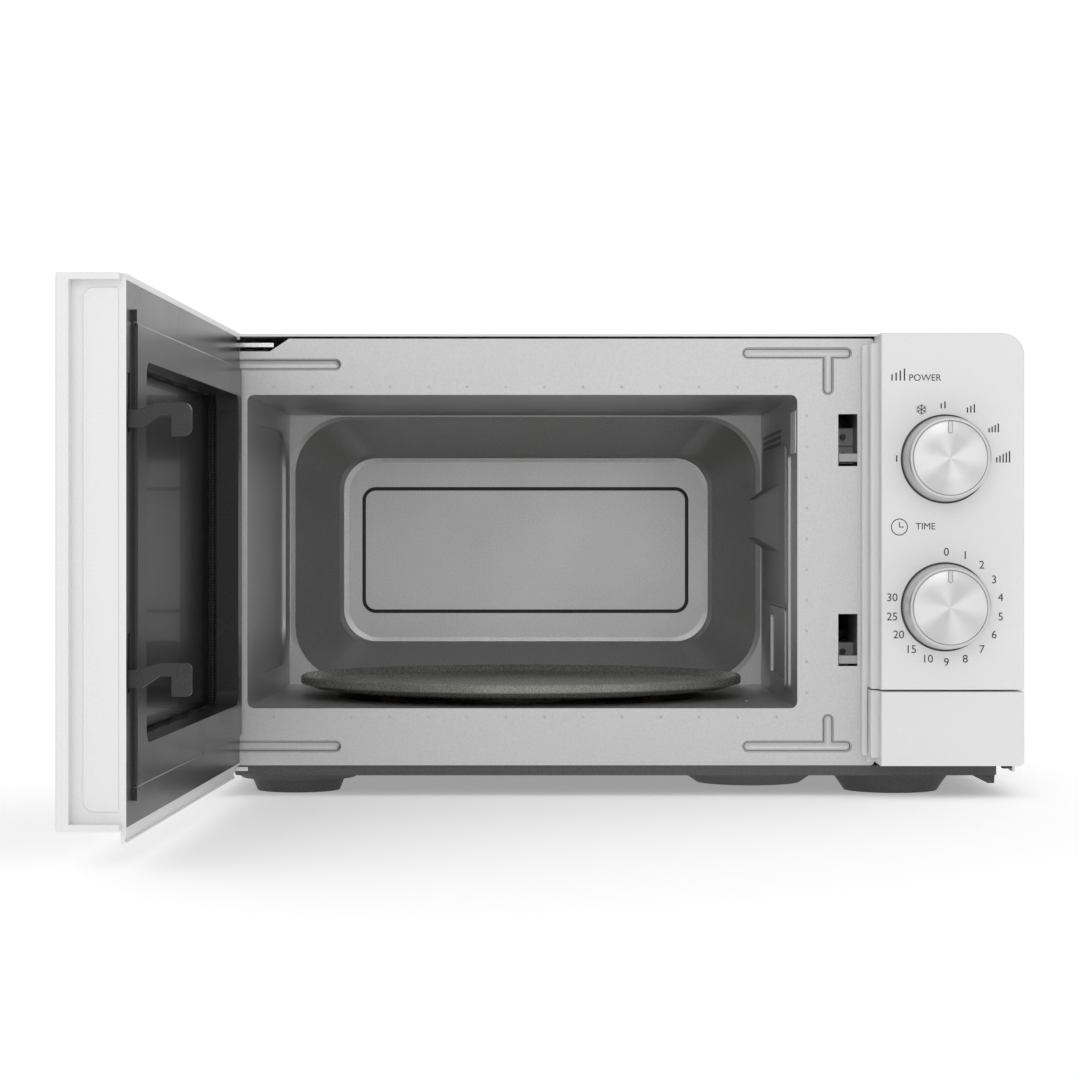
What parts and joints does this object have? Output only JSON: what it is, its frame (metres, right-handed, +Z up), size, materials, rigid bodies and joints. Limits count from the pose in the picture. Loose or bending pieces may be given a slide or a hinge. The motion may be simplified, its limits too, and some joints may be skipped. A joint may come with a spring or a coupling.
{
  "type": "microwave oven",
  "caption": "Countertop microwave oven with side-hinged door, glass turntable on a roller ring, two rotary knobs and a push-button door release.",
  "frame": {"origin": "on the surface that the feet stand on, under the middle of the cabinet's width and depth", "axes": "+Z up, +Y from the front to the back, +X to the right seen from the front"},
  "size_m": [0.4809, 0.7077, 0.262],
  "materials": {
    "white_paint": "satin white powder coat",
    "front_paint": "fine-grained light grey paint",
    "cavity_paint": "grey speckled oven enamel",
    "base_paint": "dark grey textured paint",
    "galvanised": "galvanised sheet",
    "hinge_steel": "bright zinc plate",
    "white_plastic": "fine-textured white ABS",
    "dark_plastic": "semi-gloss dark grey moulding",
    "hook_plastic": "dark grey acetal",
    "tinted_glass": "dark tinted window",
    "film": "glossy black film",
    "screen_steel": "black perforated steel pan",
    "knob_silver": "silver painted knob",
    "cap_metal": "spun aluminium",
    "shaft_plastic": "natural nylon",
    "tray_glass": "toughened dark glass",
    "ring_plastic": "dark brown plastic",
    "wheel_plastic": "dark brown plastic",
    "board_plastic": "mid-grey moulding",
    "mica": "grey moulded waveguide cover",
    "lamp_white": "white translucent window",
    "black_plastic": "black",
    "switch_plastic": "grey switch cases",
    "core_steel": "varnished laminations",
    "copper": "varnished copper",
    "capacitor_can": "drawn can",
    "fins": "cooling fins",
    "board": "phenolic board",
    "bulb": "lamp glass",
    "spring_steel": "spring wire",
    "spacer_rubber": "black rubber"
  },
  "bodies": {
    "oven": {"front_plate": "front_paint", "cavity_left_wall": "cavity_paint", "cavity_right_wall": "cavity_paint", "cavity_ceiling": "cavity_paint", "cavity_floor": "cavity_paint", "cavity_back": "cavity_paint", "outer_cabinet": "white_paint", "rear_panel": "galvanised", "base_plate": "base_paint", "cabinet_screws": "hinge_steel", "cord_gland": "black_plastic", "rear_spacers": "spacer_rubber", "cabinet_clip": "black_plastic", "control_panel": "white_plastic", "timer_unit": "shaft_plastic", "power_selector": "shaft_plastic", "turntable_motor": "galvanised", "waveguide": "galvanised", "waveguide_cover": "mica", "magnetron_body": "galvanised", "magnetron_anode": "fins", "transformer_core": "core_steel", "transformer_windings": "copper", "hv_capacitor": "capacitor_can", "capacitor_clamp": "galvanised", "hv_diode": "black_plastic", "fan_shroud": "black_plastic", "fan_motor": "core_steel", "lamp_window": "lamp_white", "cavity_lamp": "bulb", "lamp_holder": "shaft_plastic", "filter_board": "board", "thermal_cutout": "black_plastic", "upper_hinge": "hinge_steel", "lower_hinge": "hinge_steel", "latch_board": "board_plastic", "interlock_switches": "switch_plastic"},
    "door": {"door_frame": "white_plastic", "door_window": "tinted_glass", "door_pan": "screen_steel", "door_film": "film", "choke_cover": "dark_plastic", "hook_spring": "spring_steel"},
    "latch_hooks": {"door_hooks": "hook_plastic"},
    "turntable_drive": {"drive_coupler": "shaft_plastic"},
    "tray": {"glass_tray": "tray_glass"},
    "rollers": {"roller_ring": "ring_plastic"},
    "wheel_1": {"roller_wheel_1": "wheel_plastic"},
    "wheel_2": {"roller_wheel_2": "wheel_plastic"},
    "wheel_3": {"roller_wheel_3": "wheel_plastic"},
    "power_dial": {"power_knob": "knob_silver", "power_cap": "cap_metal", "power_shaft": "shaft_plastic"},
    "timer_dial": {"timer_knob": "knob_silver", "timer_cap": "cap_metal", "timer_shaft": "shaft_plastic"},
    "button": {"release_button": "white_plastic"},
    "lever": {"release_lever": "shaft_plastic"},
    "fan": {"fan_blades": "black_plastic"},
    "plungers": {"switch_plungers": "black_plastic"}
  },
  "joints": [
    {"name": "door_swing", "type": "hinge", "parent": "oven", "child": "door", "pos_m": [-0.2195, -0.1684, 0.14], "axis": [0, 0, 1], "range_deg": [-8.3, 91.7]},
    {"name": "hooks_lift", "type": "slide", "parent": "door", "child": "latch_hooks", "axis": [0, 0, 1], "range_m": [0, 0.006], "stiffness_N_per_m": 400, "springref_m": -0.004, "deforming": ["hook_spring"]},
    {"name": "turntable_spin", "type": "hinge", "parent": "oven", "child": "turntable_drive", "pos_m": [-0.055, -0.019, 0.046], "axis": [0, 0, 1], "continuous": true},
    {"name": "tray_lift_off", "type": "slide", "parent": "turntable_drive", "child": "tray", "axis": [0, 0, 1], "range_m": [0, 0.05]},
    {"name": "roller_ring_spin", "type": "hinge", "parent": "oven", "child": "rollers", "pos_m": [-0.055, -0.019, 0.046], "axis": [0, 0, 1], "continuous": true},
    {"name": "wheel_1_spin", "type": "hinge", "parent": "rollers", "child": "wheel_1", "pos_m": [0.02381, -0.0645, 0.046], "axis": [0.866, -0.5, 0], "continuous": true},
    {"name": "wheel_2_spin", "type": "hinge", "parent": "rollers", "child": "wheel_2", "pos_m": [-0.055, 0.072, 0.046], "axis": [0, 1, 0], "continuous": true},
    {"name": "wheel_3_spin", "type": "hinge", "parent": "rollers", "child": "wheel_3", "pos_m": [-0.13381, -0.0645, 0.046], "axis": [-0.866, -0.5, 0], "continuous": true},
    {"name": "power_turn", "type": "hinge", "parent": "oven", "child": "power_dial", "pos_m": [0.182, -0.192, 0.1902], "axis": [0, 1, 0], "range_deg": [-90, 90]},
    {"name": "timer_turn", "type": "hinge", "parent": "oven", "child": "timer_dial", "pos_m": [0.182, -0.192, 0.1081], "axis": [0, 1, 0], "range_deg": [0, 280]},
    {"name": "button_press", "type": "slide", "parent": "oven", "child": "button", "axis": [0, 1, 0], "range_m": [0, 0.005], "stiffness_N_per_m": 600, "springref_m": -0.003},
    {"name": "lever_rock", "type": "hinge", "parent": "oven", "child": "lever", "pos_m": [0.143, -0.152, 0.062], "axis": [1, 0, 0], "range_deg": [0, 16]},
    {"name": "fan_spin", "type": "hinge", "parent": "oven", "child": "fan", "pos_m": [0.164, 0.146, 0.126], "axis": [0, 1, 0], "continuous": true},
    {"name": "plunger_press", "type": "slide", "parent": "oven", "child": "plungers", "axis": [0, 1, 0], "range_m": [0, 0.0012], "stiffness_N_per_m": 400, "springref_m": -0.002}
  ],
  "couplings": [
    {"joint": "roller_ring_spin", "follows": "turntable_spin", "ratio": 0.5},
    {"joint": "wheel_1_spin", "follows": "turntable_spin", "ratio": -6.5},
    {"joint": "wheel_2_spin", "follows": "turntable_spin", "ratio": -6.5},
    {"joint": "wheel_3_spin", "follows": "turntable_spin", "ratio": -6.5},
    {"joint": "lever_rock", "follows": "button_press", "rad_per_m": 55}
  ]
}
